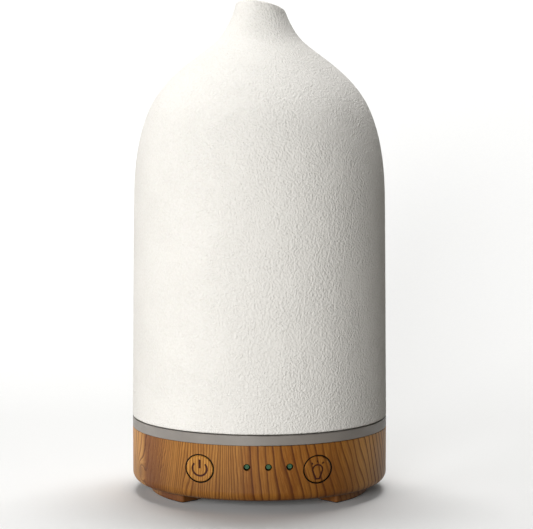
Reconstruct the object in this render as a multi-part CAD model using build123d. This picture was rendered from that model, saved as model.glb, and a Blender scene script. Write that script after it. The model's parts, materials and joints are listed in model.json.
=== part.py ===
from build123d import *
import math
import os

# Essential oil diffuser: a bisque ceramic cover over a plastic water tank, on a round
# base printed with wood grain.  Millimetres.  +Z is up, the table is z = 0, the buttons
# face -Y, and the Z axis runs through the middle of the base and of the mist spout.

os.makedirs("parts", exist_ok=True)

# ---------------------------------------------------------------- driving dimensions
BODY_R = 45.0                 # outer radius of base, light ring and cover foot
FOOT_H = 3.8                  # underside of the base shell above the table
BASE_TOP = 23.2               # top edge of the base shell
RING_TOP = 26.7               # top face of the light ring
LIFT_GAP = 0.3                # gap under a cover that lifts off
COVER_FOOT = RING_TOP + LIFT_GAP

COVER_WALL = 4.0              # ceramic wall
COVER_LIP_R = 0.5             # rounded lower rim of the ceramic
SPOUT_HOLE_R = 4.75           # mist hole through the neck
SPOUT_Z = 170.7               # slanted spout face, height on the axis
SPOUT_SLOPE = (0.168, 0.28)   # fall of that face per mm towards +X and +Y
SPOUT_ROUND = 0.6             # softened rim of the spout

SHELL_WALL = 2.0              # side wall of the base shell
SHELL_IN_R = BODY_R - SHELL_WALL
SHELL_EDGE_R = 3.4            # rounded lower edge of the base
SHELL_LIP_R = 0.2             # softened upper edge of the base
SHELL_COVE_R = 1.5            # inside corner between wall and floor
FLOOR_TOP = 6.0               # inside floor of the base
RING_EDGE_R = 0.25            # softened edges of the light ring
RING_LEDGE = (41.3, 25.0)     # radius and height of the ledge that carries the tank
RING_BORE = 38.9

FOOT_R_IN = 28.5              # curved feet, inner and outer radius
FOOT_R_OUT = 38.5
FOOT_SPAN = 42.0              # angle that each foot covers
FOOT_CORNER = 0.9
FOOT_EDGE_R = 0.5
FOOT_CENTRES = (-154.5, -25.5, 90.0)
PAD_DEPTH = 0.8               # depth of the pad's recess in the foot
PAD_PROUD = 0.4               # how far the rubber pad stands below the foot
PAD_MARGIN = (1.2, 1.0)       # foot's rim round the pad's recess, inner and outer side
PAD_PLAY = 0.1

BUTTON_R = 4.5                # button cap
BUTTON_HOLE_R = 4.9
BUTTON_PROUD = 0.15           # cap face in front of the base wall
BUTTON_EDGE = 0.3             # chamfer round the cap's face
BUTTON_BACK = -35.4           # y of the flat back of a cap
TAB_HALF_X = 2.1              # tabs behind the wall that keep a cap in
TAB_HALF_Z = 6.0
TAB_T = 0.9
POWER_X, POWER_Z = -20.3, 14.7
LIGHT_X, LIGHT_Z = 19.7, 14.5
SYMBOL_DEPTH = 0.3
POWER_LINE = 0.68             # line width of the engraved power mark
POWER_MARK_R = 2.45
LIGHT_LINE = 0.55             # line width of the engraved bulb
BULB_R = 1.95
BULB_NECK = (0.95, -3.4)      # half width and height of the bulb's lower end

SWITCH_FRONT = -34.6          # y of the front of a tact switch
SWITCH_HALF = 3.0
PLUNGER_R = 1.7
PLUNGER_GAP = 0.08

INDICATOR_X = (-4.3, 3.0, 10.2)
INDICATOR_Z = 15.9
INDICATOR_R = 0.75
INDICATOR_HOLE_R = 1.2
INDICATOR_SUNK = 1.2          # how far a rod ends inside the wall
INDICATOR_BAR_Y = (-36.0, -34.6)
INDICATOR_LED_HALF = 0.8

TANK_R = 38.0                 # tank wall, outer radius
TANK_WALL = 2.0
TANK_FLOOR = (29.0, 31.0)
TANK_RIM = 62.0
TANK_FLANGE = (25.6, RING_TOP)
FLANGE_R = 40.9
COLLAR = (39.0, 40.3, 30.5)   # inner radius, outer radius and top of the centring collar
WATER_HOLE_R = 8.0            # hole over the transducer
CUP_R = (11.0, 13.0)          # cup below the floor that holds the transducer
CUP_BOTTOM = 25.0
DUCT_X = 5.2                  # half width of the air duct's hollow
DUCT_Y = (29.4, 35.0)
DUCT_SKIN = 1.4
DUCT_TOP = 61.5
MAX_LINE_Z = 52.0             # raised level mark
MARK_HALF = 0.3
TANK_LIP_R = 0.6

RETAINER_ANGLES = (90.0, 210.0, 330.0)
RETAINER_PITCH_R = 17.5
RETAINER_Z = (24.0, 25.0)
RETAINER_PLATE_R = 15.4
RETAINER_HOLE_R = 8.6
DISC_R = 9.8                  # piezo disc
DISC_Z = (27.0, 28.0)
ELECTRODE_R = 5.0
ELECTRODE_H = 0.15
SEAL_R = 10.9
SEAL_Z = (26.2, 29.0)

INNER_WALL = 1.3              # inner cover
INNER_R = 39.6
INNER_SKIRT = 56.0
CHIMNEY_R = 9.0
CHIMNEY_TOP = 112.0
LEDGE_T = 1.2                 # ring inside the cover that sits on the tank's rim
RIB_LENGTH, RIB_T = 4.0, 1.2  # four ribs between chimney and dome

CLAMP_R = 33.8                # pitch radius of the three screws that clamp base and tank
CLAMP_ANGLES = (-154.5, -25.5, 104.5)
POST_R = 3.5
POST_TOP = 19.8
POST_HOLE_R = 1.65
SCREW_POCKET = (2.6, 5.0)     # radius and top of the screw-head pocket in the foot
BOSS_R = 3.2
BOSS_HOLE_R = 1.5
SMALL_POST_R = 2.4            # posts for the fan and the main board
POST_ROOT = 4.6               # bottom of the blind holes in those posts

FAN_X, FAN_Y = -11.5, 3.5     # axial fan, 30 x 30 x 10
FAN_SIDE = 30.0
FAN_Z = (7.0, 17.0)
FAN_HOLE = 12.0               # half the spacing of its corner holes
FAN_BORE_R = 13.8
BLADE_R = 13.3
HUB_R = 7.0
HUB_WALL = 0.8
BLADES = 7
BLADE_PITCH = 52.0            # degrees from flat
SHAFT_R = 0.75
BEARING_R = 1.9
GRILLE_R = 12.0               # intake grille below the fan
GRILLE_PITCH = 3.3
GRILLE_SLOT = 1.7

BOARD_T = 1.6
MAIN_BOARD_Z = 8.5            # underside of the main board
MAIN_X = (5.2, 26.6)
MAIN_Y = (-20.0, 20.0)
MAIN_TOP = MAIN_BOARD_Z + BOARD_T
MAIN_SCREWS = ((8.0, -17.3), (24.0, -17.3), (24.0, 17.3))
CONTROL_Y = (-31.5, -30.3)    # control board stands across the front
CONTROL_X = 25.0
CONTROL_Z = (8.0, 21.4)
BOARD_PLAY = 0.1
RAIL_X = (23.4, 27.2)         # slotted rails that hold the control board's ends
RAIL_TOP = 19.0
BOARD_HOLE_R = 1.15
IC_PINS = 8
IC_PIN_PITCH = 1.27
FINS = 5
FIN_PITCH = 2.1

LED_BOARD_R = (23.5, 30.0)
LED_BOARD_Z = (22.8, 24.0)
LED_BOARD_SCREWS = (18.75, 161.25, 270.0)
LED_PITCH_R = 26.8
RING_LEDS = 8
LED_SPREAD = 290.0            # angle that the lamps share, clear of the air duct
LED_SIDE = 3.2
LED_H = 1.2
LED_LENS_R = 1.2

JACK_Z = 15.6                 # axis of the 5.5 mm barrel socket
JACK_BACK = 26.0
JACK_MOUTH = 44.4
JACK_HALF = 4.5
JACK_BORE_R = 2.95
JACK_PIN_R = 1.0
JACK_NOSE_R = 3.8
JACK_HOLE_R = 4.0
JACK_HEIGHT = 10.4

SOCKETS = {                   # plug-and-socket pairs on the main board
    "fan": (7.9, -8.5),
    "transducer": (14.8, 2.0),
    "led": (22.6, 8.6),
    "control": (15.8, -17.7),
}
SOCKET_H = 3.0
PLUG_TOP = MAIN_TOP + SOCKET_H
LEAD_D = 1.5

BOTTOM = (Align.CENTER, Align.CENTER, Align.MIN)


# ---------------------------------------------------------------- shared shapes
def block(x, y, z):
    """A box between two x, two y and two z values."""
    size = [high - low for low, high in (x, y, z)]
    middle = [(low + high) / 2 for low, high in (x, y, z)]
    return Pos(*middle) * Box(*size)


def rod(r, z0, z1, x=0.0, y=0.0):
    """An upright cylinder."""
    return Pos(x, y, z0) * Cylinder(r, z1 - z0, align=BOTTOM)


def tube(r_in, r_out, z0, z1, x=0.0, y=0.0):
    """An upright ring."""
    return rod(r_out, z0, z1, x, y) - rod(r_in, z0 - 1, z1 + 1, x, y)


def rod_y(r, y0, y1, x, z):
    """A cylinder that lies along Y."""
    return Pos(x, y0, z) * Rot(-90, 0, 0) * Cylinder(r, y1 - y0, align=BOTTOM)


def polar(radius, degrees):
    """The x and y of a point on a circle about the Z axis."""
    return radius * math.cos(math.radians(degrees)), radius * math.sin(math.radians(degrees))


def curved_bar(r_in, r_out, centre, span, z0, z1, corner=0.0):
    """A bar that follows a circle about the Z axis, with rounded corners seen from above."""
    far = 3 * r_out
    wedge = Polygon((0, 0), polar(far, centre - span / 2), polar(far, centre + span / 2), align=None)
    plan = (Circle(r_out) - Circle(r_in)) & wedge
    if corner:
        plan = fillet(plan.vertices(), corner)
    return Pos(0, 0, z0) * extrude(plan, z1 - z0)


def spin_profile(*points):
    """A solid of revolution from its (radius, height) outline."""
    return revolve(Plane.XZ * make_face(Polyline(*points, close=True)), Axis.Z)


def screw(x, y, z, head_r, head_h, shank_r, length, up=True):
    """A cross-head screw whose head seats at z, with its shank pointing up or down."""
    body = rod(head_r, -head_h, 0) + rod(shank_r, 0, length)
    body = chamfer(body.edges().group_by(Axis.Z)[0], head_h * 0.3)
    slot = head_r * 0.28
    depth = head_h * 0.5
    body -= Pos(0, 0, -head_h) * (Box(head_r * 1.2, slot, 2 * depth) + Box(slot, head_r * 1.2, 2 * depth))
    turn = Rot(0, 0, 30) if up else Rot(180, 0, 30)
    return Pos(x, y, z) * turn * body


def group(solids):
    """Several separate solids of one kind as one sub-part."""
    return Compound(children=list(solids))


def save(shape, name):
    export_step(shape, "parts/" + name + ".step")


# ---------------------------------------------------------------- ceramic cover
def cover_curve():
    """Outer line of the ceramic cover, from its foot up to the spout, as radius and height."""
    knots = [
        (BODY_R, COVER_FOOT),
        (44.6, 65.0),
        (44.25, 98.8),
        (43.75, 113.0),
        (41.45, 127.0),
        (36.95, 138.3),
        (29.0, 147.8),
        (20.3, 154.7),
        (13.9, 160.2),
        (10.75, 165.2),
        (8.95, 169.5),
        (7.8, 175.0),
    ]
    return Spline(*knots, tangents=[(-0.012, 1), (-0.12, 1)])


def inside_curve(outer, wall, r_stop, steps=16):
    """The line one wall inside another, as far up as it stays outside r_stop."""
    points = []
    for step in range(steps + 1):
        along = step / steps
        place = outer @ along
        run = outer % along
        point = (place.X - wall * run.Y, place.Y + wall * run.X)
        if point[0] > r_stop:
            points.append(point)
    return points


def closed_to_axis(curve, start, end):
    """The area between a curve and the Z axis."""
    edges = [curve, Line(end, (0, end[1])), Line((0, end[1]), (0, start[1])), Line((0, start[1]), start)]
    return Plane.XZ * make_face(edges)


def make_ceramic_cover():
    outer = cover_curve()
    top = outer @ 1
    body = revolve(closed_to_axis(outer, (BODY_R, COVER_FOOT), (top.X, top.Y)), Axis.Z)
    points = inside_curve(outer, COVER_WALL, SPOUT_HOLE_R + 1.5)
    hollow = revolve(closed_to_axis(Spline(*points), points[0], points[-1]), Axis.Z)
    body -= hollow
    body -= rod(points[0][0] - 0.01, COVER_FOOT - 1, points[0][1] + 0.01)
    body -= rod(SPOUT_HOLE_R, points[-1][1] - 3, top.Y + 1)
    fall = Plane(origin=(0, 0, SPOUT_Z), z_dir=(SPOUT_SLOPE[0], SPOUT_SLOPE[1], 1))
    body -= fall * Box(60, 60, 30, align=BOTTOM)
    rim = [edge for edge in body.edges() if edge.center().Z > SPOUT_Z - 3]
    body = fillet(rim, SPOUT_ROUND)
    foot = body.edges().filter_by(GeomType.CIRCLE).group_by(Axis.Z)[0]
    return fillet(foot, COVER_LIP_R)


# ---------------------------------------------------------------- inner cover
def dome_line(r, shoulder, dome_r, dome_z, top, skirt, big, small):
    return FilletPolyline((r, skirt), (r, shoulder), (dome_r, dome_z), (dome_r, top), radius=[big, small])


def make_inner_cover():
    outer = dome_line(INNER_R, 72.0, CHIMNEY_R, 85.0, CHIMNEY_TOP, INNER_SKIRT, 9.0, 6.0)
    inner_r = INNER_R - INNER_WALL
    chimney = CHIMNEY_R - INNER_WALL
    inner = dome_line(inner_r, 70.9, chimney, 83.6, CHIMNEY_TOP, INNER_SKIRT, 8.0, 7.0)
    foot = Line((inner_r, INNER_SKIRT), (INNER_R, INNER_SKIRT))
    mouth = Line((chimney, CHIMNEY_TOP), (CHIMNEY_R, CHIMNEY_TOP))
    body = revolve(Plane.XZ * make_face([outer, inner, foot, mouth]), Axis.Z)
    seat = TANK_RIM + LIFT_GAP
    body += tube(TANK_R - 2.4, inner_r + 0.2, seat, seat + LEDGE_T)
    rib = block((CHIMNEY_R - 0.5, CHIMNEY_R + RIB_LENGTH), (-RIB_T / 2, RIB_T / 2), (84.5, 90))
    for angle in (0, 90, 180, 270):
        body += Rot(0, 0, angle) * rib
    return body


# ---------------------------------------------------------------- water tank
def make_water_tank():
    inside = TANK_R - TANK_WALL
    low, high = TANK_FLOOR
    body = tube(inside, TANK_R, TANK_FLANGE[0], TANK_RIM)
    body = fillet(body.edges().filter_by(GeomType.CIRCLE).group_by(Axis.Z)[-1], TANK_LIP_R)
    body += tube(inside, FLANGE_R, TANK_FLANGE[0], TANK_FLANGE[1])
    body += tube(COLLAR[0], COLLAR[1], TANK_FLANGE[0] + 0.5, COLLAR[2])
    body += rod(inside + 0.5, low, high) - rod(WATER_HOLE_R, low - 1, high + 1)
    body += tube(CUP_R[0], CUP_R[1], CUP_BOTTOM, low + 0.5)
    for x, y in [polar(RETAINER_PITCH_R, angle) for angle in RETAINER_ANGLES]:
        body += rod(2.6, CUP_BOTTOM, low + 0.5, x, y)
        body -= rod(1.15, CUP_BOTTOM - 1, low, x, y)
    for x, y in [polar(LED_PITCH_R, angle) for angle in LED_BOARD_SCREWS]:
        body += rod(2.2, LED_BOARD_Z[1], low + 0.5, x, y)
        body -= rod(1.0, LED_BOARD_Z[1] - 1, low - 0.6, x, y)
    for x, y in [polar(CLAMP_R, angle) for angle in CLAMP_ANGLES]:
        body += rod(BOSS_R, POST_TOP + 0.2, low + 0.5, x, y)
        body -= rod(BOSS_HOLE_R, POST_TOP - 1, low - 2, x, y)
    skin = DUCT_SKIN
    casing = block((-DUCT_X - skin, DUCT_X + skin), (DUCT_Y[0] - skin, TANK_R), (low, DUCT_TOP))
    body += casing & rod(inside + 0.5, low, DUCT_TOP)
    body -= block((-DUCT_X, DUCT_X), DUCT_Y, (low - 1, DUCT_TOP + 1))
    body += curved_bar(inside - 0.4, inside + 0.3, -90, 40, MAX_LINE_Z - MARK_HALF, MAX_LINE_Z + MARK_HALF)
    return body


def make_ring_gasket():
    return tube(RING_BORE, FLANGE_R - 0.2, RING_LEDGE[1], TANK_FLANGE[0])


def make_light_ring():
    """Translucent band between the base and the cover, with a ledge that carries the tank."""
    spigot_r = SHELL_IN_R - 0.2
    spigot_z = BASE_TOP - 1.4
    ledge_r, ledge_z = RING_LEDGE
    body = spin_profile(
        (RING_BORE, BASE_TOP), (41.2, BASE_TOP), (41.2, spigot_z), (spigot_r, spigot_z),
        (spigot_r, BASE_TOP), (BODY_R, BASE_TOP), (BODY_R, RING_TOP), (ledge_r, RING_TOP),
        (ledge_r, ledge_z), (RING_BORE, ledge_z),
    )
    outside = [edge for edge in body.edges().filter_by(GeomType.CIRCLE) if edge.radius > BODY_R - 0.01]
    return fillet(outside, RING_EDGE_R)


# ---------------------------------------------------------------- mist generator
def make_transducer_disc():
    """Piezo disc, with its raised silvered electrode underneath."""
    plate = rod(DISC_R, *DISC_Z)
    plate = chamfer(plate.edges().filter_by(GeomType.CIRCLE), 0.15)
    return plate + rod(ELECTRODE_R, DISC_Z[0] - ELECTRODE_H, DISC_Z[0] + 0.1)


def make_transducer_seal():
    return spin_profile(
        (RETAINER_HOLE_R, SEAL_Z[0]), (SEAL_R, SEAL_Z[0]), (SEAL_R, SEAL_Z[1]), (WATER_HOLE_R, SEAL_Z[1]),
        (WATER_HOLE_R, DISC_Z[1]), (DISC_R + 0.02, DISC_Z[1]), (DISC_R + 0.02, DISC_Z[0]),
        (RETAINER_HOLE_R, DISC_Z[0]),
    )


def make_transducer_retainer():
    """Ring that presses the seal into its cup, with three screw ears."""
    low, high = RETAINER_Z
    places = [polar(RETAINER_PITCH_R, angle) for angle in RETAINER_ANGLES]
    body = rod(RETAINER_PLATE_R, low, high)
    for x, y in places:
        body += rod(2.8, low, high, x, y)
    body += rod(SEAL_R - 0.2, high - 0.2, SEAL_Z[0])
    body -= rod(RETAINER_HOLE_R, low - 1, SEAL_Z[0] + 1)
    for x, y in places:
        body -= rod(1.3, low - 1, high + 1, x, y)
    return body


def make_transducer_screws():
    places = [polar(RETAINER_PITCH_R, angle) for angle in RETAINER_ANGLES]
    return group(screw(x, y, RETAINER_Z[0], 2.2, 1.3, 1.1, 4.4) for x, y in places)


def make_led_ring_board():
    body = tube(*LED_BOARD_R, *LED_BOARD_Z)
    body -= block((-9, 9), (0, 40), (20, 30))
    for x, y in [polar(LED_PITCH_R, angle) for angle in LED_BOARD_SCREWS]:
        body -= rod(BOARD_HOLE_R, 20, 30, x, y)
    return body


def led_angles():
    """Evenly spread round the board, on both sides of the opening for the air duct."""
    first = 90.0 + (360.0 - LED_SPREAD) / 2
    return [first + LED_SPREAD * (step + 0.5) / RING_LEDS for step in range(RING_LEDS)]


def make_ring_leds():
    leds = []
    for angle in led_angles():
        x, y = polar(LED_PITCH_R, angle)
        case = Box(LED_SIDE, LED_SIDE, LED_H, align=BOTTOM) - rod(LED_LENS_R, LED_H - 0.5, LED_H + 1)
        leds.append(Pos(x, y, LED_BOARD_Z[1]) * Rot(0, 0, angle) * case)
    return group(leds)


def make_led_board_screws():
    places = [polar(LED_PITCH_R, angle) for angle in LED_BOARD_SCREWS]
    return group(screw(x, y, LED_BOARD_Z[0], 1.9, 1.1, 0.95, 5.2) for x, y in places)


# ---------------------------------------------------------------- base shell
def grille():
    """Parallel intake slots in the floor, below the fan."""
    slots = []
    for step in range(-3, 4):
        offset = step * GRILLE_PITCH
        length = 2 * math.sqrt(GRILLE_R ** 2 - offset ** 2)
        slot = extrude(SlotOverall(length, GRILLE_SLOT, rotation=90), 5)
        slots.append(Pos(FAN_X + offset, FAN_Y, FOOT_H - 1) * slot)
    return slots


def make_base_shell():
    body = rod(BODY_R, FOOT_H, BASE_TOP)
    body = fillet(body.edges().filter_by(GeomType.CIRCLE).group_by(Axis.Z)[0], SHELL_EDGE_R)
    body = fillet(body.edges().filter_by(GeomType.CIRCLE).group_by(Axis.Z)[-1], SHELL_LIP_R)
    cavity = rod(SHELL_IN_R, FLOOR_TOP, BASE_TOP + 1)
    body -= fillet(cavity.edges().filter_by(GeomType.CIRCLE).group_by(Axis.Z)[0], SHELL_COVE_R)
    for centre in FOOT_CENTRES:
        foot = curved_bar(FOOT_R_IN, FOOT_R_OUT, centre, FOOT_SPAN, PAD_PROUD, FOOT_H + 0.5, FOOT_CORNER)
        body += fillet(foot.edges().group_by(Axis.Z)[0], FOOT_EDGE_R)
    for centre in FOOT_CENTRES:
        low_r, high_r = FOOT_R_IN + PAD_MARGIN[0], FOOT_R_OUT - PAD_MARGIN[1]
        body -= curved_bar(low_r, high_r, centre, FOOT_SPAN - 3.0, 0, PAD_PROUD + PAD_DEPTH, 0.9)
    for x, y in [polar(CLAMP_R, angle) for angle in CLAMP_ANGLES]:
        body += rod(POST_R, FLOOR_TOP - 0.5, POST_TOP, x, y)
        body -= rod(SCREW_POCKET[0], 0, SCREW_POCKET[1], x, y)
        body -= rod(POST_HOLE_R, 4, POST_TOP + 1, x, y)
    for sx in (-1, 1):
        for sy in (-1, 1):
            x, y = FAN_X + sx * FAN_HOLE, FAN_Y + sy * FAN_HOLE
            body += rod(SMALL_POST_R, FLOOR_TOP - 0.5, FAN_Z[0], x, y)
            body -= rod(1.25, POST_ROOT, FAN_Z[0] + 1, x, y)
    for x, y in MAIN_SCREWS:
        body += rod(SMALL_POST_R, FLOOR_TOP - 0.5, MAIN_BOARD_Z, x, y)
        body -= rod(1.0, POST_ROOT, MAIN_BOARD_Z + 1, x, y)
    for side in (-1, 1):
        rail_x = sorted((side * RAIL_X[0], side * RAIL_X[1]))
        rail = block(rail_x, (-37.5, -28.2), (FLOOR_TOP - 0.5, RAIL_TOP))
        body += rail & rod(SHELL_IN_R + 0.5, 0, 30)
    slot_x = CONTROL_X + BOARD_PLAY
    slot_y = (CONTROL_Y[0] - BOARD_PLAY, CONTROL_Y[1] + BOARD_PLAY)
    body -= block((-slot_x, slot_x), slot_y, (CONTROL_Z[0], 25))
    for slot in grille():
        body -= slot
    body -= rod_y(BUTTON_HOLE_R, -50, -34, POWER_X, POWER_Z)
    body -= rod_y(BUTTON_HOLE_R, -50, -34, LIGHT_X, LIGHT_Z)
    for x in INDICATOR_X:
        body -= rod_y(INDICATOR_HOLE_R, -50, -38, x, INDICATOR_Z)
    body -= rod_y(JACK_HOLE_R, 40, 50, 0, JACK_Z)
    return body


def make_foot_pads():
    top = PAD_PROUD + PAD_DEPTH
    low_r = FOOT_R_IN + PAD_MARGIN[0] + PAD_PLAY
    high_r = FOOT_R_OUT - PAD_MARGIN[1] - PAD_PLAY
    return group(curved_bar(low_r, high_r, centre, FOOT_SPAN - 3.3, 0, top, 0.8) for centre in FOOT_CENTRES)


def make_base_screws():
    places = [polar(CLAMP_R, angle) for angle in CLAMP_ANGLES]
    return group(screw(x, y, SCREW_POCKET[1], 2.4, 2.2, 1.45, 20.0) for x, y in places)


# ---------------------------------------------------------------- buttons and indicators
def power_symbol():
    """A ring open at the top, with an upright bar in the gap."""
    half = POWER_LINE / 2
    mark = Circle(POWER_MARK_R + half) - Circle(POWER_MARK_R - half)
    mark -= Polygon((0, 0), (-4.4, 4.0), (4.4, 4.0), align=None)
    return mark + Pos(0, 1.6) * Rectangle(POWER_LINE, 3.0)


def bulb(inset):
    """A bulb's outline drawn in by inset: a round top that tapers to its neck."""
    neck_x, neck_z = BULB_NECK[0] - inset, BULB_NECK[1] + inset
    shoulder = BULB_R * 0.9 - inset
    cone = Polygon((-neck_x, neck_z), (neck_x, neck_z), (shoulder, -0.8), (-shoulder, -0.8), align=None)
    return Circle(BULB_R - inset) + cone


def light_symbol():
    """A bulb outline with three short rays above it."""
    mark = bulb(0) - bulb(LIGHT_LINE)
    for angle in (-40, 0, 40):
        mark += Rot(0, 0, angle) * Pos(0, 2.85) * Rectangle(LIGHT_LINE * 0.9, 0.8)
    return Pos(0, -0.1) * mark


def make_button(x, z, symbol):
    """Cap shaped to the wall, with two tabs behind the wall that keep it in."""
    face_r = BODY_R + BUTTON_PROUD
    cap = rod_y(BUTTON_R, -50, BUTTON_BACK, x, z) & rod(face_r, 0, 40)
    front = [edge for edge in cap.edges() if edge.center().Y < BUTTON_BACK - 2 and edge.length > 20]
    cap = chamfer(front, BUTTON_EDGE)
    tab_z = (z - TAB_HALF_Z, z + TAB_HALF_Z)
    cap += block((x - TAB_HALF_X, x + TAB_HALF_X), (BUTTON_BACK - TAB_T, BUTTON_BACK), tab_z)
    mark = Pos(x, -50, z) * extrude(Plane.XZ * symbol, -20)
    cap -= mark & tube(face_r - SYMBOL_DEPTH, face_r + 2, 0, 40)
    return cap


def make_switch(x, z):
    """Tact switch on the control board, with a blind hole for its plunger."""
    half = SWITCH_HALF
    case = block((x - half, x + half), (SWITCH_FRONT, CONTROL_Y[0]), (z - half, z + half))
    case = chamfer(case.edges().filter_by(Axis.Y), 0.4)
    return case - rod_y(PLUNGER_R + PLUNGER_GAP, SWITCH_FRONT - 1, SWITCH_FRONT + 1.8, x, z)


def make_plunger(x, z):
    return rod_y(PLUNGER_R, BUTTON_BACK, SWITCH_FRONT + 1.1, x, z)


def make_light_pipe():
    """Three clear rods on one bar, each ending just inside the wall."""
    middle = INDICATOR_Z
    ends = (INDICATOR_X[0] - 1.6, INDICATOR_X[-1] + 1.6)
    bar = block(ends, INDICATOR_BAR_Y, (middle - 1.1, middle + 1.1))
    for x in INDICATOR_X:
        wall = -math.sqrt(BODY_R ** 2 - x ** 2)
        bar += rod_y(INDICATOR_R, wall + INDICATOR_SUNK, -33.0, x, middle)
    return bar


def make_indicator_leds():
    half = INDICATOR_LED_HALF
    leds = []
    for x in INDICATOR_X:
        led_z = (INDICATOR_Z - half, INDICATOR_Z + half)
        leds.append(block((x - half, x + half), (-32.4, CONTROL_Y[0]), led_z))
    return group(leds)


def make_control_board():
    board = block((-CONTROL_X, CONTROL_X), CONTROL_Y, CONTROL_Z)
    return chamfer(board.edges().filter_by(Axis.Y), 0.8)


# ---------------------------------------------------------------- main board
def make_main_board():
    board = block(MAIN_X, MAIN_Y, (MAIN_BOARD_Z, MAIN_TOP))
    board += block((-4.6, 12.0), (19.0, 33.0), (MAIN_BOARD_Z, MAIN_TOP))
    for x, y in MAIN_SCREWS:
        board -= rod(BOARD_HOLE_R, 5, 15, x, y)
    return board


def make_main_board_screws():
    return group(screw(x, y, MAIN_TOP, 1.9, 1.2, 0.95, 4.8, up=False) for x, y in MAIN_SCREWS)


def make_main_ic():
    case = block((6.6, 10.6), (-2.5, 7.5), (MAIN_TOP + 0.1, MAIN_TOP + 1.7))
    case = chamfer(case.faces().sort_by(Axis.Z)[-1].edges(), 0.25)
    for step in range(IC_PINS):
        y = -1.95 + step * IC_PIN_PITCH
        case += block((5.6, 11.6), (y - 0.2, y + 0.2), (MAIN_TOP, MAIN_TOP + 0.5))
    return case


def make_driver_transistor():
    body = block((17.2, 23.8), (-14.0, -8.0), (MAIN_TOP, MAIN_TOP + 2.3))
    body = chamfer(body.faces().sort_by(Axis.Z)[-1].edges(), 0.3)
    body += block((17.9, 23.1), (-8.1, -6.9), (MAIN_TOP, MAIN_TOP + 0.6))
    for x in (18.2, 22.8):
        body += block((x - 0.4, x + 0.4), (-15.6, -13.9), (MAIN_TOP, MAIN_TOP + 0.5))
    return body


def make_heat_sink():
    seat = MAIN_TOP + 2.3
    body = block((15.8, 25.2), (-15.0, -7.0), (seat, seat + 1.2))
    for step in range(FINS):
        x = 16.3 + step * FIN_PITCH
        body += block((x - 0.45, x + 0.45), (-15.0, -7.0), (seat, seat + 6.5))
    return body


def make_capacitors():
    cans = []
    for x, y in ((9.4, 13.2), (16.8, 13.2)):
        can = rod(3.15, MAIN_TOP, MAIN_TOP + 9.0, x, y)
        can -= tube(3.0, 3.6, MAIN_TOP + 1.3, MAIN_TOP + 1.9, x, y)
        cans.append(fillet(can.edges().group_by(Axis.Z)[-1], 0.4))
    return group(cans)


def make_inductor():
    x, y = 21.2, -1.4
    body = tube(2.9, 3.6, MAIN_TOP, MAIN_TOP + 5.0, x, y)
    return body + rod(3.1, MAIN_TOP, MAIN_TOP + 4.6, x, y)


def make_connectors():
    """Four two-pin plug-and-socket pairs on the main board."""
    shells = []
    for x, y in SOCKETS.values():
        shell = block((x - 2.6, x + 2.6), (y - 2.0, y + 2.0), (MAIN_TOP, MAIN_TOP + SOCKET_H))
        shell -= block((x - 3, x + 3), (y + 1.5, y + 3), (MAIN_TOP + 1.2, MAIN_TOP + SOCKET_H + 1))
        shells.append(shell)
    return group(shells)


# ---------------------------------------------------------------- fan
def make_fan_frame():
    """Square frame with a round bore, three struts and the hub plate on its outlet side."""
    low, high = FAN_Z
    half = FAN_SIDE / 2
    body = block((-half, half), (-half, half), (low, high))
    body = fillet(body.edges().filter_by(Axis.Z), 2.0)
    body -= rod(FAN_BORE_R, low - 1, high + 1)
    for sx in (-1, 1):
        for sy in (-1, 1):
            body -= rod(1.5, low - 1, high + 1, sx * FAN_HOLE, sy * FAN_HOLE)
    body += rod(HUB_R - 0.6, high - 1.0, high)
    for angle in (30, 150, 270):
        body += Rot(0, 0, angle) * block((HUB_R - 1.5, FAN_BORE_R + 0.3), (-0.7, 0.7), (high - 1.0, high))
    body += rod(2.4, 9.8, high - 0.5)
    body -= rod(BEARING_R, 8, high - 0.7)
    return Pos(FAN_X, FAN_Y, 0) * body


def make_fan_rotor():
    hub = rod(HUB_R, 7.7, 15.4) - rod(HUB_R - HUB_WALL, 8.8, 16)
    hub = fillet(hub.edges().group_by(Axis.Z)[0], 0.6)
    reach = tube(HUB_R - 0.3, BLADE_R, 8.0, 15.2)
    blade = Rot(BLADE_PITCH, 0, 0) * Box(BLADE_R - HUB_R + 3, 9.0, 0.7)
    blade = Pos((HUB_R + BLADE_R) / 2, 0, 11.6) * blade
    for step in range(BLADES):
        hub += (Rot(0, 0, step * 360 / BLADES) * blade) & reach
    hub -= rod(SHAFT_R, 7, 9.2)
    return Pos(FAN_X, FAN_Y, 0) * hub


def make_fan_magnet():
    return tube(5.5, HUB_R - HUB_WALL, 9.3, 14.6, FAN_X, FAN_Y)


def make_fan_shaft():
    return rod(SHAFT_R, 8.0, 15.8, FAN_X, FAN_Y)


def make_fan_bearing():
    return tube(SHAFT_R + 0.05, BEARING_R, 9.8, 16.0, FAN_X, FAN_Y)


def make_fan_stator():
    """Four-pole core with its windings, pressed on the bearing tube."""
    core = tube(2.4, 3.2, 10.2, 14.0)
    for angle in (0, 90, 180, 270):
        core += Rot(0, 0, angle) * block((3.0, 5.1), (-1.2, 1.2), (10.4, 13.8))
        core += Rot(0, 0, angle) * (curved_bar(4.5, 5.1, 0, 66, 10.4, 13.8))
    return Pos(FAN_X, FAN_Y, 0) * core


def make_fan_screws():
    places = [(FAN_X + sx * FAN_HOLE, FAN_Y + sy * FAN_HOLE) for sx in (-1, 1) for sy in (-1, 1)]
    return group(screw(x, y, FAN_Z[1], 2.2, 1.2, 1.2, 11.8, up=False) for x, y in places)


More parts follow.
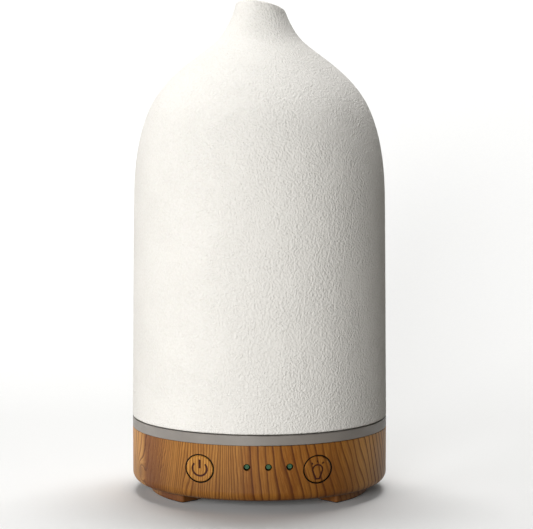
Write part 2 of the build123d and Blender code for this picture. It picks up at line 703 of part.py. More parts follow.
# ---------------------------------------------------------------- power socket
def make_dc_jack_body():
    """Barrel socket for the 24 V adapter: a block on the main board with a round nose."""
    body = block((-JACK_HALF, JACK_HALF), (JACK_BACK, 40.0), (MAIN_TOP, MAIN_TOP + JACK_HEIGHT))
    body = chamfer(body.edges().filter_by(Axis.Y), 0.5)
    body += rod_y(JACK_NOSE_R, 39.0, JACK_MOUTH, 0, JACK_Z)
    body -= rod_y(JACK_BORE_R, 33.0, JACK_MOUTH + 1, 0, JACK_Z)
    body -= rod_y(JACK_PIN_R, JACK_BACK - 1, 34.0, 0, JACK_Z)
    body -= block((-1.6, 1.6), (35.0, 39.0), (JACK_Z + 2.5, JACK_Z + 8))
    return body


def make_dc_jack_pin():
    pin = rod_y(JACK_PIN_R, JACK_BACK - 0.6, 42.6, 0, JACK_Z)
    return fillet(pin.edges().sort_by(Axis.Y)[-1], 0.5)


def make_dc_jack_contacts():
    """Sleeve spring in the top of the socket."""
    leaf = block((-1.4, 1.4), (35.2, 38.8), (JACK_Z + 3.1, JACK_Z + 3.5))
    return leaf + block((-1.4, 1.4), (35.2, 35.6), (JACK_Z + 3.1, MAIN_TOP + JACK_HEIGHT))


# ---------------------------------------------------------------- leads
def lead(name, *points):
    """A two-core lead along straight runs joined by arcs."""
    runs = [(Vector(*b) - Vector(*a)) for a, b in zip(points, points[1:])]
    radii = []
    for before, after in zip(runs, runs[1:]):
        half_turn = math.radians(before.get_angle(after)) / 2
        radii.append(0.45 * min(before.length, after.length) / math.tan(half_turn))
    path = FilletPolyline(*points, radius=radii)
    section = Plane(origin=points[0], z_dir=runs[0]) * Circle(LEAD_D / 2)
    print(name, "bend radii", [round(radius, 1) for radius in radii])
    return sweep(section, path)


def make_fan_lead():
    x, y = SOCKETS["fan"]
    edge = FAN_X + FAN_SIDE / 2
    return lead("fan lead", (edge, y, 16.0), (x, y, 16.0), (x, y, PLUG_TOP))


def make_transducer_lead():
    x, y = SOCKETS["transducer"]
    start = DISC_Z[0] - ELECTRODE_H
    return lead(
        "transducer lead", (3.0, 0, start), (3.0, 0, 21.5), (8.0, 0.6, 18.8), (x, y, 17.8), (x, y, PLUG_TOP),
    )


def make_led_ring_lead():
    x, y = SOCKETS["led"]
    return lead("ring lead", (25.6, 4.2, LED_BOARD_Z[0]), (25.6, 4.2, 18.8), (x, y, 17.0), (x, y, PLUG_TOP))


def make_control_lead():
    x, y = SOCKETS["control"]
    back = CONTROL_Y[1]
    return lead("control lead", (14.0, back, 16.0), (14.0, back + 4.3, 16.0), (x, y, 16.2), (x, y, PLUG_TOP))


# ---------------------------------------------------------------- write every sub-part
PARTS = {
    "ceramic_cover": make_ceramic_cover,
    "inner_cover": make_inner_cover,
    "water_tank": make_water_tank,
    "ring_gasket": make_ring_gasket,
    "light_ring": make_light_ring,
    "transducer_disc": make_transducer_disc,
    "transducer_seal": make_transducer_seal,
    "transducer_retainer": make_transducer_retainer,
    "transducer_screws": make_transducer_screws,
    "led_ring_board": make_led_ring_board,
    "ring_leds": make_ring_leds,
    "led_board_screws": make_led_board_screws,
    "base_shell": make_base_shell,
    "foot_pads": make_foot_pads,
    "base_screws": make_base_screws,
    "power_button": lambda: make_button(POWER_X, POWER_Z, power_symbol()),
    "light_button": lambda: make_button(LIGHT_X, LIGHT_Z, light_symbol()),
    "power_switch": lambda: make_switch(POWER_X, POWER_Z),
    "light_switch": lambda: make_switch(LIGHT_X, LIGHT_Z),
    "power_switch_plunger": lambda: make_plunger(POWER_X, POWER_Z),
    "light_switch_plunger": lambda: make_plunger(LIGHT_X, LIGHT_Z),
    "indicator_light_pipe": make_light_pipe,
    "indicator_leds": make_indicator_leds,
    "control_board": make_control_board,
    "main_board": make_main_board,
    "main_board_screws": make_main_board_screws,
    "main_ic": make_main_ic,
    "driver_transistor": make_driver_transistor,
    "heat_sink": make_heat_sink,
    "capacitors": make_capacitors,
    "inductor": make_inductor,
    "connectors": make_connectors,
    "fan_frame": make_fan_frame,
    "fan_rotor": make_fan_rotor,
    "fan_magnet": make_fan_magnet,
    "fan_shaft": make_fan_shaft,
    "fan_bearing": make_fan_bearing,
    "fan_stator": make_fan_stator,
    "fan_screws": make_fan_screws,
    "dc_jack_body": make_dc_jack_body,
    "dc_jack_pin": make_dc_jack_pin,
    "dc_jack_contacts": make_dc_jack_contacts,
    "fan_lead": make_fan_lead,
    "transducer_lead": make_transducer_lead,
    "led_ring_lead": make_led_ring_lead,
    "control_lead": make_control_lead,
}

for part_name, make in PARTS.items():
    save(make(), part_name)
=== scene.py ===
import json
import math

import bpy
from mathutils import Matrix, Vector


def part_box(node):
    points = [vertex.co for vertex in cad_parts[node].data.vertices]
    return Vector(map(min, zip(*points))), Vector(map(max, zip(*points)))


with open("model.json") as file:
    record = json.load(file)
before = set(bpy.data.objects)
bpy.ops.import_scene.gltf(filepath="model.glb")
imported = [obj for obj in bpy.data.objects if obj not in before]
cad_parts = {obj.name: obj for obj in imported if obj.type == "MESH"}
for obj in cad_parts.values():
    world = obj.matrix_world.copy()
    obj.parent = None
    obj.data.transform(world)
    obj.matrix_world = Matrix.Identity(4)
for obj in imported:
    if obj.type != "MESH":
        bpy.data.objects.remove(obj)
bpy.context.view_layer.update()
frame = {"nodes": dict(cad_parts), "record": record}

# ------------------------------------------------------------------ the object's own measures, metres
BASE_RADIUS = 0.0450
BASE_TOP = 0.0232                        # where the grey ring begins
PRINT_STARTS = (0.0433, 0.0436)          # the print fades in between these radii
FOOT_TOP = (0.0043, 0.0040)
BORE_EDGE = (0.00500, 0.00494)           # the wall of a button's hole
BORE_FRONT = (-0.0300, -0.0310)          # how far forward the painted shade on that wall reaches
# the side wall of a button cap and how deep it reaches; it is painted black as shade in the gap round the
# cap
CAP_SIDE = (0.00446, 0.00449)
CAP_SIDE_DEPTH = (0.04470, 0.04460)
SYMBOL_EDGE = (0.0041, 0.0040)           # symbols lie inside this distance from the cap's middle
SYMBOL_DEPTH = (0.04510, 0.04500)

# ------------------------------------------------------------------ colours of the wood print, with the painted sheen and painted shade laid on it
WOOD_LIGHT = (0.370, 0.152, 0.026, 1)
WOOD_DEEP = (0.250, 0.086, 0.013, 1)
WOOD_GOLD = (0.520, 0.250, 0.062, 1)
FIBRE_DARK = (0.165, 0.050, 0.008, 1)
FIBRE_LIGHT = (0.480, 0.235, 0.060, 1)
# painted sheen: paler colour on both side edges of the base as seen from the front
EDGE_SHEEN_PALE = (0.700, 0.360, 0.105, 1)
WOOD_RED = (0.165, 0.048, 0.010, 1)
LATE_LINE = (0.080, 0.020, 0.004, 1)
KNOT_BROWN = (0.140, 0.046, 0.012, 1)
# painted shade: the feet and the lower wall are darkened in place of the shade near the floor
FOOT_SHADE_BROWN = (0.110, 0.032, 0.008, 1)
LOW_SHADE_BROWN = (0.060, 0.016, 0.003, 1)
UNDERSIDE_BROWN = (0.115, 0.052, 0.022, 1)
# painted shade: black for the shadowed gaps round the buttons
GAP_SHADE_BLACK = (0.010, 0.006, 0.005, 1)
SYMBOL_BROWN = (0.055, 0.014, 0.008, 1)
WOOD_SHINE = 0.15                        # the shader's specular level
WOOD_RELIEF = (0.00005, 0.6)             # height in metres, strength

# angle round the base, height and size of each knot; the angle is 0 at the front
KNOTS = ((-1.17, 0.0095, 0.0034), (2.3, 0.0150, 0.0028), (-2.5, 0.0120, 0.0040))

# ------------------------------------------------------------------ camera
CAMERA_PLACE = Vector((0.0, -0.800, 0.1595))
CAMERA_DIP = math.radians(5.66)          # how far the camera looks down
CAMERA_LENS = 153.5                      # millimetres, on a 36 mm sensor
CAMERA_SHIFT = 0.0131


def make_camera():
    data = bpy.data.cameras.new("product_camera")
    data.lens = CAMERA_LENS
    data.sensor_width = 36.0
    data.shift_x = CAMERA_SHIFT
    data.clip_start = 0.01
    camera = bpy.data.objects.new("product_camera", data)
    camera.location = CAMERA_PLACE
    camera.rotation_euler = (math.pi / 2 - CAMERA_DIP, 0, 0)
    bpy.context.scene.collection.objects.link(camera)
    bpy.context.scene.camera = camera


# ------------------------------------------------------------------ node helpers
def wire(tree, socket, value):
    """Feeds a socket from another socket, or sets it to a plain value."""
    if isinstance(value, bpy.types.NodeSocket):
        tree.links.new(value, socket)
    else:
        socket.default_value = value


def calc(tree, operation, *values, clamp=False):
    made = tree.nodes.new("ShaderNodeMath")
    made.operation = operation
    made.use_clamp = clamp
    for socket, value in zip(made.inputs, values):
        wire(tree, socket, value)
    return made.outputs[0]


def smooth(tree, value, low, high, out_low=0.0, out_high=1.0):
    """A soft step from out_low to out_high while value goes from low to high."""
    made = tree.nodes.new("ShaderNodeMapRange")
    made.interpolation_type = "SMOOTHSTEP"
    for name, number in (("From Min", low), ("From Max", high), ("To Min", out_low), ("To Max", out_high)):
        wire(tree, made.inputs[name], number)
    wire(tree, made.inputs["Value"], value)
    return made.outputs["Result"]


def band(tree, value, begins, full, fades, ends):
    """1 between full and fades, easing to 0 at begins and at ends."""
    return calc(tree, "MULTIPLY", smooth(tree, value, begins, full), smooth(tree, value, ends, fades))


def length(tree, across, up):
    """The length of a step that goes across one way and up the other."""
    return calc(tree, "SQRT", calc(tree, "ADD", calc(tree, "MULTIPLY", across, across),
                                   calc(tree, "MULTIPLY", up, up)))


def blend(tree, factor, first, second, kind="MIX"):
    """Mixes two colours."""
    made = tree.nodes.new("ShaderNodeMix")
    made.data_type = "RGBA"
    made.blend_type = kind
    made.clamp_factor = True
    wire(tree, made.inputs[0], factor)
    wire(tree, made.inputs[6], first)
    wire(tree, made.inputs[7], second)
    return made.outputs[2]


def noise(tree, vector, scale, detail=2.0, roughness=0.5, distortion=0.0):
    made = tree.nodes.new("ShaderNodeTexNoise")
    for name, value in (("Vector", vector), ("Scale", scale), ("Detail", detail),
                        ("Roughness", roughness), ("Distortion", distortion)):
        wire(tree, made.inputs[name], value)
    return made.outputs["Fac"]


def cells(tree, vector, scale):
    """Distance to the nearest of many scattered points."""
    made = tree.nodes.new("ShaderNodeTexVoronoi")
    wire(tree, made.inputs["Vector"], vector)
    wire(tree, made.inputs["Scale"], scale)
    return made.outputs["Distance"]


def place(tree):
    """The point on the piece, in the object's own frame, in metres."""
    return tree.nodes.new("ShaderNodeTexCoord").outputs["Object"]


def split(tree, vector):
    made = tree.nodes.new("ShaderNodeSeparateXYZ")
    wire(tree, made.inputs[0], vector)
    return made.outputs[0], made.outputs[1], made.outputs[2]


def join(tree, x, y, z):
    made = tree.nodes.new("ShaderNodeCombineXYZ")
    for socket, value in zip(made.inputs, (x, y, z)):
        wire(tree, socket, value)
    return made.outputs[0]


def stretch(tree, vector, scale):
    """The point with each axis scaled, which draws a pattern out along the small ones."""
    made = tree.nodes.new("ShaderNodeVectorMath")
    made.operation = "MULTIPLY"
    wire(tree, made.inputs[0], vector)
    made.inputs[1].default_value = scale
    return made.outputs[0]


FLOAT, COLOUR = "NodeSocketFloat", "NodeSocketColor"


def new_group(name, inputs, outputs):
    """An empty shared node group: inputs as name, kind and value, outputs as name and kind."""
    tree = bpy.data.node_groups.new(name, "ShaderNodeTree")
    for label, kind, value in inputs:
        tree.interface.new_socket(name=label, in_out="INPUT", socket_type=kind).default_value = value
    for label, kind in outputs:
        tree.interface.new_socket(name=label, in_out="OUTPUT", socket_type=kind)
    return tree, tree.nodes.new("NodeGroupInput").outputs, tree.nodes.new("NodeGroupOutput").inputs


def use_group(tree, group, **values):
    made = tree.nodes.new("ShaderNodeGroup")
    made.node_tree = group
    for name, value in values.items():
        wire(tree, made.inputs[name.replace("_", " ")], value)
    return made.outputs


def new_material(name):
    """A material with its node tree and its Principled shader."""
    material = bpy.data.materials.new(name)
    material.use_nodes = True
    return material, material.node_tree, material.node_tree.nodes["Principled BSDF"]


def relief(tree, shader, height, distance, strength=1.0):
    """Raises the shader's surface by height times distance, in metres."""
    bump = tree.nodes.new("ShaderNodeBump")
    bump.inputs["Strength"].default_value = strength
    bump.inputs["Distance"].default_value = distance
    wire(tree, bump.inputs["Height"], height)
    tree.links.new(bump.outputs["Normal"], shader.inputs["Normal"])


# ------------------------------------------------------------------ shared effects
def bisque_group():
    """Unglazed ceramic: soft lumps under a millimetre across, pinholes and faint patches, with painted
    shade darkening the lumps' hollows and the pinholes.
    """
    tree, given, result = new_group(
        "bisque_surface",
        [("Lump Scale", FLOAT, 1150.0), ("Clay", COLOUR, (0.8, 0.8, 0.8, 1)),
         ("Shade", COLOUR, (0.7, 0.7, 0.7, 1))],
        [("Colour", COLOUR), ("Height", FLOAT), ("Roughness", FLOAT)])
    point = place(tree)
    lumps = noise(tree, point, given["Lump Scale"], 2.0, 0.40, 0.12)
    fine = noise(tree, point, calc(tree, "MULTIPLY", given["Lump Scale"], 2.7), 2.0, 0.6)
    patches = noise(tree, point, 75.0, 2.0)
    pores = cells(tree, point, calc(tree, "MULTIPLY", given["Lump Scale"], 0.62))
    pinholes = smooth(tree, pores, 0.05, 0.20)
    body = calc(tree, "MULTIPLY_ADD", fine, 0.22, lumps)
    uneven = calc(tree, "MULTIPLY", body, smooth(tree, patches, 0.3, 0.6, 0.75, 1.1))
    height = calc(tree, "MULTIPLY_ADD", pinholes, 0.22, uneven)
    # painted shade: the colour darkens in the lumps' hollows and in the pinholes
    hollows = calc(tree, "MULTIPLY_ADD", lumps, -0.9, 0.85)
    painted_hollow_shade = calc(tree, "MULTIPLY_ADD", pinholes, -0.25, hollows, clamp=True)
    wire(tree, result["Colour"], blend(tree, painted_hollow_shade, given["Clay"], given["Shade"]))
    wire(tree, result["Height"], height)
    wire(tree, result["Roughness"], smooth(tree, patches, 0.3, 0.7, 0.86, 0.96))
    return tree


def wood_group():
    """Printed wood grain wrapped round the base: growth lines, fibres, pores and knots, with a painted
    sheen on both side edges and painted shade on the feet and towards the bottom.
    """
    tree, given, result = new_group(
        "wood_print",
        [("Radius", FLOAT, BASE_RADIUS), ("Lines Round", FLOAT, 101.0), ("Knots", FLOAT, 1.0)],
        [("Colour", COLOUR), ("Height", FLOAT), ("Roughness", FLOAT)])
    point = place(tree)
    x, y, z = split(tree, point)
    turn = calc(tree, "ARCTAN2", x, calc(tree, "MULTIPLY", y, -1.0))
    along = calc(tree, "MULTIPLY", turn, given["Radius"])
    below = calc(tree, "SUBTRACT", BASE_TOP, z)
    swing = calc(tree, "SINE", calc(tree, "SUBTRACT", turn, 0.14))
    lean = calc(tree, "MULTIPLY_ADD", swing, 0.33, 0.13)
    pushed = calc(tree, "MULTIPLY_ADD", calc(tree, "MULTIPLY", lean, below), -1.0, along)
    slow = noise(tree, stretch(tree, point, (1.0, 1.0, 0.25)), 90.0, 1.0)
    pushed = calc(tree, "MULTIPLY_ADD", calc(tree, "SUBTRACT", slow, 0.5), 0.0060, pushed)
    fine_side = band(tree, turn, -1.05, -0.85, -0.20, -0.06)
    left_band = band(tree, turn, -1.14, -1.02, -0.90, -0.70)
    wobble = noise(tree, stretch(tree, point, (1.0, 1.0, 0.6)), 620.0, 2.0)
    pushed = calc(tree, "MULTIPLY_ADD", calc(tree, "SUBTRACT", wobble, 0.5),
                  calc(tree, "MULTIPLY_ADD", left_band, 0.0014, 0.00025), pushed)
    knots = 0.0
    for angle, height, size in KNOTS:
        across = calc(tree, "SUBTRACT", along, angle * BASE_RADIUS)
        up = calc(tree, "MULTIPLY", calc(tree, "SUBTRACT", z, height), 0.8)
        squared = calc(tree, "ADD", calc(tree, "MULTIPLY", across, across),
                       calc(tree, "MULTIPLY", up, up))
        knot = calc(tree, "EXPONENT", calc(tree, "DIVIDE", squared, -size * size))
        knots = calc(tree, "ADD", knots, knot)
    knots = calc(tree, "MULTIPLY", knots, given["Knots"])
    pushed = calc(tree, "MULTIPLY_ADD", knots, 0.0062, pushed)
    girth = calc(tree, "MULTIPLY", given["Radius"], 2 * math.pi)
    pitch = calc(tree, "DIVIDE", girth, given["Lines Round"])
    rings = calc(tree, "DIVIDE", pushed, pitch)
    phase = calc(tree, "FRACT", rings)
    ring_tone = noise(tree, join(tree, calc(tree, "FLOOR", rings), 0.0, 0.0), 3.7, 1.0)
    late = band(tree, phase, 0.55, 0.90, 0.93, 1.0)
    late = calc(tree, "MULTIPLY", late, smooth(tree, ring_tone, 0.30, 0.62, 0.45, 1.0))
    late = calc(tree, "MULTIPLY", late, calc(tree, "MULTIPLY_ADD", fine_side, -0.55, 1.0))
    fine_rings = calc(tree, "MULTIPLY", rings, 3.0)
    fine_phase = calc(tree, "FRACT", fine_rings)
    fine_tone = noise(tree, join(tree, calc(tree, "FLOOR", fine_rings), 0.0, 0.0), 1.9, 1.0)
    fine_line = band(tree, fine_phase, 0.30, 0.85, 0.90, 1.0)
    fine_line = calc(tree, "MULTIPLY", fine_line, smooth(tree, fine_tone, 0.35, 0.60, 0.4, 1.0))
    fine_share = calc(tree, "MULTIPLY_ADD", fine_side, 0.68, 0.26)
    fine_line = calc(tree, "MULTIPLY", fine_line, fine_share)
    lines = calc(tree, "MAXIMUM", late, fine_line)
    fibre_place = join(tree, pushed, 0.0, calc(tree, "MULTIPLY", z, 0.035))
    fibres = noise(tree, fibre_place, 5600.0, 3.0, 0.6)
    broad = noise(tree, stretch(tree, point, (1.0, 1.0, 0.2)), 110.0, 3.0, 0.55)
    # painted sheen: both side edges of the base, as seen from the front, are made paler
    painted_edge_sheen = calc(tree, "MAXIMUM", band(tree, turn, 0.66, 0.95, 2.00, 2.40),
                     band(tree, turn, -2.20, -1.80, -1.16, -1.06))
    colour = blend(tree, smooth(tree, broad, 0.32, 0.66), WOOD_LIGHT, WOOD_DEEP)
    for factor, paint in (
            (calc(tree, "MULTIPLY", fine_side, 0.45), WOOD_GOLD),
            (calc(tree, "MULTIPLY", smooth(tree, fibres, 0.46, 0.70), 0.55), FIBRE_DARK),
            (calc(tree, "MULTIPLY", smooth(tree, fibres, 0.48, 0.30), 0.45), FIBRE_LIGHT),
            (calc(tree, "MULTIPLY", painted_edge_sheen, 0.62), EDGE_SHEEN_PALE),
            (calc(tree, "MULTIPLY", left_band, 0.62), WOOD_RED),
            (calc(tree, "MULTIPLY", lines, 0.92), LATE_LINE),
            (smooth(tree, knots, 0.45, 1.0, 0.0, 0.6), KNOT_BROWN),
            # painted shade: darker on the feet and towards the bottom of the wall
            (smooth(tree, z, 0.0046, 0.0036, 0.0, 0.55), FOOT_SHADE_BROWN),
            (smooth(tree, z, 0.0200, 0.0070, 0.0, 0.30), LOW_SHADE_BROWN)):
        colour = blend(tree, factor, colour, paint)
    wire(tree, result["Colour"], colour)
    wire(tree, result["Height"], calc(tree, "MULTIPLY_ADD", lines, -0.6, fibres))
    wire(tree, result["Roughness"],
         calc(tree, "MULTIPLY_ADD", late, 0.08, smooth(tree, fibres, 0.3, 0.7, 0.40, 0.50)))
    return tree


def moulding_group():
    """Moulded plastic or rubber: spark-etched grain, slight tone changes and handling marks."""
    tree, given, result = new_group(
        "moulded_surface",
        [("Colour", COLOUR, (0.5, 0.5, 0.5, 1)), ("Grain Scale", FLOAT, 2600.0), ("Roughness", FLOAT, 0.5)],
        [("Colour", COLOUR), ("Height", FLOAT), ("Roughness", FLOAT)])
    point = place(tree)
    grain = noise(tree, point, given["Grain Scale"], 2.0, 0.6)
    tone = noise(tree, point, 60.0, 3.0)
    rubbed = noise(tree, stretch(tree, point, (1.0, 1.0, 3.0)), 180.0, 4.0, 0.65)
    darker = blend(tree, 1.0, given["Colour"], (0.86, 0.86, 0.86, 1), "MULTIPLY")
    colour = blend(tree, smooth(tree, tone, 0.35, 0.7), given["Colour"], darker)
    wire(tree, result["Colour"], blend(tree, smooth(tree, grain, 0.55, 0.75, 0.0, 0.6), colour, darker))
    wire(tree, result["Height"], grain)
    wire(tree, result["Roughness"],
         calc(tree, "ADD", given["Roughness"], smooth(tree, rubbed, 0.4, 0.75, 0.06, -0.06)))
    return tree


def metal_group():
    """Drawn or plated metal: fine lines along one direction and faint tarnish."""
    tree, given, result = new_group(
        "worked_metal",
        [("Colour", COLOUR, (0.6, 0.6, 0.6, 1)), ("Tarnish", COLOUR, (0.3, 0.3, 0.3, 1)),
         ("Roughness", FLOAT, 0.3)],
        [("Colour", COLOUR), ("Height", FLOAT), ("Roughness", FLOAT)])
    point = place(tree)
    lines = noise(tree, stretch(tree, point, (1.0, 1.0, 14.0)), 700.0, 3.0, 0.6)
    spots = noise(tree, point, 420.0, 4.0, 0.6)
    dulled = smooth(tree, spots, 0.52, 0.78, 0.0, 0.7)
    wire(tree, result["Colour"], blend(tree, dulled, given["Colour"], given["Tarnish"]))
    wire(tree, result["Height"], lines)
    wire(tree, result["Roughness"],
         calc(tree, "ADD", given["Roughness"], smooth(tree, lines, 0.35, 0.7, -0.05, 0.10)))
    return tree


def board_group():
    """Solder mask over etched copper: tracks on a square grid and tinned pads."""
    tree, given, result = new_group(
        "circuit_board",
        [("Mask", COLOUR, (0.02, 0.16, 0.06, 1)), ("Track Pitch", FLOAT, 0.0016)],
        [("Colour", COLOUR), ("Height", FLOAT), ("Roughness", FLOAT)])
    point = place(tree)
    x, y, z = split(tree, point)
    shift = noise(tree, stretch(tree, point, (1.0, 1.0, 0.0)), 140.0, 0.0)
    u = calc(tree, "FRACT", calc(tree, "DIVIDE", x, given["Track Pitch"]))
    v = calc(tree, "FRACT", calc(tree, "DIVIDE", calc(tree, "ADD", y, z), given["Track Pitch"]))
    half_track = 0.16
    track_u = calc(tree, "LESS_THAN", calc(tree, "ABSOLUTE", calc(tree, "SUBTRACT", u, 0.5)), half_track)
    track_v = calc(tree, "LESS_THAN", calc(tree, "ABSOLUTE", calc(tree, "SUBTRACT", v, 0.5)), half_track)
    choose = calc(tree, "GREATER_THAN", shift, 0.5)
    tracks = calc(tree, "ADD", calc(tree, "MULTIPLY", track_u, choose),
                  calc(tree, "MULTIPLY", track_v, calc(tree, "SUBTRACT", 1.0, choose)))
    dots = calc(tree, "MULTIPLY", track_u, track_v)
    pads = calc(tree, "MULTIPLY", dots, calc(tree, "GREATER_THAN", noise(tree, point, 330.0, 0.0), 0.56))
    lighter = blend(tree, 1.0, given["Mask"], (1.9, 1.7, 1.7, 1), "MULTIPLY")
    colour = blend(tree, tracks, given["Mask"], lighter)
    wire(tree, result["Colour"], blend(tree, pads, colour, (0.62, 0.60, 0.55, 1)))
    wire(tree, result["Height"], calc(tree, "MAXIMUM", tracks, pads))
    wire(tree, result["Roughness"], calc(tree, "MULTIPLY_ADD", pads, -0.08, 0.36))
    return tree


# ------------------------------------------------------------------ materials
def finish_from(name, group, distance, strength=1.0, metallic=0.0, shader_values=None, **values):
    """A material whose colour, roughness and relief come from one shared effect."""
    material, tree, shader = new_material(name)
    out = use_group(tree, group, **values)
    wire(tree, shader.inputs["Base Color"], out["Colour"])
    wire(tree, shader.inputs["Roughness"], out["Roughness"])
    shader.inputs["Metallic"].default_value = metallic
    for label, value in (shader_values or {}).items():
        shader.inputs[label].default_value = value
    relief(tree, shader, out["Height"], distance, strength)
    return material


def ceramic_finish(bisque):
    return finish_from("bisque_ceramic", bisque, 0.00048, 1.0, Lump_Scale=1450.0,
                       Clay=(0.86, 0.838, 0.795, 1), Shade=(0.72, 0.69, 0.635, 1),
                       shader_values={"Specular IOR Level": 0.25})


def distance_from_axis(tree, x, z, node):
    """How far a point is from the middle line of a button, which runs along Y."""
    low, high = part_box(node)
    centre = (low + high) / 2
    across = calc(tree, "SUBTRACT", x, centre.x)
    up = calc(tree, "SUBTRACT", z, centre.z)
    return length(tree, across, up)


def base_finish(wood, moulding):
    """Wood print on the outside of the shell, plain brown plastic underneath and bare inside, and painted
    shade in black on the front of the buttons' hole walls.
    """
    material, tree, shader = new_material("wood_print_shell")
    print_out = use_group(tree, wood)
    plain_out = use_group(tree, moulding, Colour=UNDERSIDE_BROWN, Grain_Scale=1900.0, Roughness=0.55)
    x, y, z = split(tree, place(tree))
    outside = smooth(tree, length(tree, x, y), *PRINT_STARTS)
    low_down = smooth(tree, z, *FOOT_TOP)
    normal_z = split(tree, tree.nodes.new("ShaderNodeNewGeometry").outputs["Normal"])[2]
    facing_down = smooth(tree, normal_z, -0.80, -0.92)
    printed = calc(tree, "MULTIPLY", calc(tree, "MAXIMUM", outside, low_down),
                   calc(tree, "SUBTRACT", 1.0, facing_down))
    colour = blend(tree, printed, plain_out["Colour"], print_out["Colour"])
    # painted shade: the front of each button's hole wall is coloured black in place of the shadow in the
    # gap
    front = smooth(tree, y, *BORE_FRONT)
    for node in ("power_button", "light_button"):
        away = distance_from_axis(tree, x, z, node)
        bore_shade = calc(tree, "MULTIPLY", smooth(tree, away, *BORE_EDGE), front)
        colour = blend(tree, bore_shade, colour, GAP_SHADE_BLACK)
    wire(tree, shader.inputs["Base Color"], colour)
    wire(tree, shader.inputs["Roughness"], print_out["Roughness"])
    shader.inputs["Specular IOR Level"].default_value = WOOD_SHINE
    relief(tree, shader, print_out["Height"], *WOOD_RELIEF)
    return material


def button_finish(wood, node, tint):
    """The base's wood print with the engraved symbol filled dark brown, and the cap's side wall painted
    black as shade in the gap round it.
    """
    material, tree, shader = new_material("wood_print_" + node)
    out = use_group(tree, wood, Knots=0.0)
    x, y, z = split(tree, place(tree))
    radius = length(tree, x, y)
    away = distance_from_axis(tree, x, z, node)
    below_face = smooth(tree, radius, *SYMBOL_DEPTH)
    engraved = calc(tree, "MULTIPLY", below_face, smooth(tree, away, *SYMBOL_EDGE))
    face = blend(tree, 1.0, out["Colour"], (*tint, 1), "MULTIPLY")
    colour = blend(tree, engraved, face, SYMBOL_BROWN)
    # painted shade: the cap's side wall is coloured black
    side = calc(tree, "MULTIPLY", smooth(tree, away, *CAP_SIDE), smooth(tree, radius, *CAP_SIDE_DEPTH))
    wire(tree, shader.inputs["Base Color"], blend(tree, side, colour, GAP_SHADE_BLACK))
    wire(tree, shader.inputs["Roughness"], out["Roughness"])
    shader.inputs["Specular IOR Level"].default_value = WOOD_SHINE
    relief(tree, shader, out["Height"], *WOOD_RELIEF)
    return material


def glowing_indicator(moulding):
    """Green tinted clear plastic, faintly lit from behind."""
    material, tree, shader = new_material("indicator_green_plastic")
    out = use_group(tree, moulding, Colour=(0.001, 0.070, 0.016, 1), Grain_Scale=900.0, Roughness=0.22)
    wire(tree, shader.inputs["Base Color"], out["Colour"])
    wire(tree, shader.inputs["Roughness"], out["Roughness"])
    wire(tree, shader.inputs["Emission Color"], out["Colour"])
    shader.inputs["Emission Strength"].default_value = 0.15
    shader.inputs["Coat Weight"].default_value = 0.15
    relief(tree, shader, out["Height"], 0.00002, 0.3)
    return material


def plastic(name, moulding, colour, roughness, grain=2600.0, **shader_values):
    """A moulded plastic or rubber; extra values go straight to the shader."""
    values = {label.replace("_", " "): value for label, value in shader_values.items()}
    return finish_from(name, moulding, 0.00003, 0.5, Colour=(*colour, 1), Grain_Scale=grain,
                       Roughness=roughness, shader_values=values)


def metal(name, worked, colour, tarnish, roughness):
    return finish_from(name, worked, 0.00002, 0.5, metallic=1.0, Colour=(*colour, 1),
                       Tarnish=(*tarnish, 1), Roughness=roughness)


def make_finishes():
    """One material for each of the record's finish slots."""
    bisque, wood, moulding = bisque_group(), wood_group(), moulding_group()
    worked, board = metal_group(), board_group()
    finishes = {
        "ceramic": ceramic_finish(bisque),
        "wood_print": base_finish(wood, moulding),
        "ring_grey": plastic("light_ring_plastic", moulding, (0.245, 0.222, 0.198), 0.46, 1700.0),
        "frosted_white": plastic("frosted_cover_plastic", moulding, (0.84, 0.85, 0.84), 0.42, 2200.0,
                                 Transmission_Weight=0.22, IOR=1.49),
        "tank_white": plastic("tank_plastic", moulding, (0.80, 0.81, 0.80), 0.28, 1200.0),
        "silicone": plastic("seal_silicone", moulding, (0.62, 0.62, 0.58), 0.60),
        "pad_rubber": plastic("foot_pad_rubber", moulding, (0.028, 0.027, 0.026), 0.75, 1500.0),
        "black_plastic": plastic("black_moulding", moulding, (0.017, 0.017, 0.018), 0.46),
        "board": finish_from("circuit_board", board, 0.00004, 0.7),
        "steel": metal("screw_steel", worked, (0.58, 0.57, 0.55), (0.30, 0.29, 0.27), 0.30),
        "brass": metal("contact_brass", worked, (0.74, 0.55, 0.27), (0.42, 0.27, 0.12), 0.28),
        "copper_winding": metal("winding_copper", worked, (0.62, 0.26, 0.12), (0.30, 0.12, 0.06), 0.38),
        "piezo": metal("silvered_disc", worked, (0.72, 0.70, 0.66), (0.50, 0.47, 0.40), 0.34),
        "aluminium": metal("heat_sink_aluminium", worked, (0.70, 0.71, 0.72), (0.48, 0.48, 0.49), 0.36),
        "led_case": plastic("led_resin", moulding, (0.80, 0.74, 0.42), 0.25, 1500.0),
        "indicator_green": glowing_indicator(moulding),
        "magnet": plastic("sintered_ferrite", moulding, (0.060, 0.058, 0.060), 0.62, 3200.0),
        "connector_white": plastic("connector_nylon", moulding, (0.74, 0.72, 0.64), 0.45),
        "capacitor_sleeve": plastic("capacitor_sleeve", moulding, (0.022, 0.030, 0.090), 0.30),
        "lead_insulation": plastic("lead_insulation", moulding, (0.025, 0.024, 0.024), 0.50, 1400.0),
    }
    special = {
        "power_button": button_finish(wood, "power_button", (1.35, 1.42, 1.30)),
        "light_button": button_finish(wood, "light_button", (1.02, 1.05, 1.05)),
    }
    return finishes, special


def dress_nodes():
    """Gives each piece the finish of its slot, or the one made for it alone."""
    finishes, special = make_finishes()
    for row in frame["record"]["subparts"]:
        node, slot = row["node"], row["material_slot"]
        piece = frame["nodes"][node]
        piece.data.materials.clear()
        piece.data.materials.append(special.get(node, finishes[slot]))


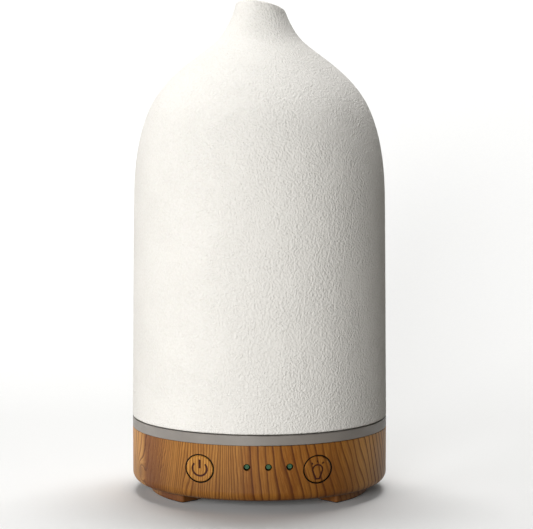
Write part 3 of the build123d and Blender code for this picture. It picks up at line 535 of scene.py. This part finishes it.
# ------------------------------------------------------------------ floor and light
SWEEP_START = 0.15        # how far behind the axis the floor begins to rise
SWEEP_RADIUS = 0.45
SWEEP_HALF = 2.2
SWEEP_FRONT = -1.6
SWEEP_TOP = 2.2
SWEEP_STEPS = 24          # flats along the curve
PAPER_TONES = (0.86, 0.86, 0.855, 1), (0.90, 0.90, 0.89, 1)
PAPER_BOUNCE = (0.150, 0.141, 0.120, 1)      # what the paper gives back to the object

AIM_HEIGHT = 0.08         # the softboxes round the object point at this height
WORLD_STRENGTH = 0.030


def make_sweep():
    """A pale paper sweep: floor in front, one easy curve, then a wall.

    It is see-through from behind and below, so that it doesn't hide the object there. It looks
    paler than the light it bounces, which keeps the object's shaded side dark.
    """
    line = [(SWEEP_FRONT, 0.0)]
    for step in range(SWEEP_STEPS + 1):
        turn = math.pi / 2 * step / SWEEP_STEPS
        line.append((SWEEP_START + SWEEP_RADIUS * math.sin(turn), SWEEP_RADIUS * (1 - math.cos(turn))))
    line.append((SWEEP_START + SWEEP_RADIUS, SWEEP_TOP))
    verts = [(side * SWEEP_HALF, y, z) for y, z in line for side in (-1, 1)]
    faces = [(2 * row, 2 * row + 1, 2 * row + 3, 2 * row + 2) for row in range(len(line) - 1)]
    mesh = bpy.data.meshes.new("paper_sweep")
    mesh.from_pydata(verts, [], faces)
    mesh.polygons.foreach_set("use_smooth", [True] * len(faces))
    sweep = bpy.data.objects.new("paper_sweep", mesh)
    bpy.context.scene.collection.objects.link(sweep)
    material, tree, shader = new_material("sweep_paper")
    fibres = noise(tree, place(tree), 900.0, 2.0)
    paper = blend(tree, fibres, *PAPER_TONES)
    ray = tree.nodes.new("ShaderNodeLightPath").outputs
    seen = calc(tree, "MAXIMUM", ray["Is Camera Ray"], ray["Is Glossy Ray"])
    geometry = tree.nodes.new("ShaderNodeNewGeometry")
    wire(tree, shader.inputs["Alpha"], calc(tree, "SUBTRACT", 1.0, geometry.outputs["Backfacing"]))
    wire(tree, shader.inputs["Base Color"], blend(tree, seen, PAPER_BOUNCE, paper))
    shader.inputs["Roughness"].default_value = 0.9
    shader.inputs["Specular IOR Level"].default_value = 0.1
    mesh.materials.append(material)


def make_softbox(name, position, target, size, power):
    """A rectangular lamp of the given width and height, facing the target."""
    data = bpy.data.lights.new(name, "AREA")
    data.shape = "RECTANGLE"
    data.size, data.size_y = size
    data.energy = power
    lamp = bpy.data.objects.new(name, data)
    lamp.location = position
    lamp.rotation_euler = (Vector(target) - Vector(position)).to_track_quat("-Z", "Y").to_euler()
    bpy.context.scene.collection.objects.link(lamp)


def around(azimuth, elevation, distance):
    """A place round the object: 0 is in front, positive to the right, in degrees and metres."""
    turn, lift = math.radians(azimuth), math.radians(elevation)
    flat = distance * math.cos(lift)
    return flat * math.sin(turn), -flat * math.cos(turn), AIM_HEIGHT + distance * math.sin(lift)


def light_studio():
    """Softboxes in front, to the left, faintly at the right edge and above, and a dim surround."""
    middle = (0, 0, AIM_HEIGHT)
    make_softbox("front_softbox", around(-12, 7, 1.2), middle, (0.40, 0.40), 9.2)
    make_softbox("key_softbox", around(-45, 4, 1.2), middle, (0.40, 0.40), 5.3)
    make_softbox("side_softbox", around(-100, 0, 1.0), middle, (0.50, 0.30), 5.0)
    make_softbox("edge_softbox", around(118, 0, 1.0), middle, (0.30, 0.30), 1.0)
    make_softbox("overhead_softbox", (0.02, 0.25, 1.0), (0, 0, 0), (0.60, 0.26), 7.4)
    make_softbox("back_softbox", (0.04, 0.50, 0.7), (0, 0, 0), (0.90, 0.20), 1.2)
    world = bpy.data.worlds.new("studio")
    world.use_nodes = True
    surround = world.node_tree.nodes["Background"].inputs
    surround["Color"].default_value = (1.0, 1.0, 1.0, 1)
    surround["Strength"].default_value = WORLD_STRENGTH
    bpy.context.scene.world = world
    bpy.context.scene.view_settings.view_transform = "Standard"


make_camera()
dress_nodes()
make_sweep()
light_studio()
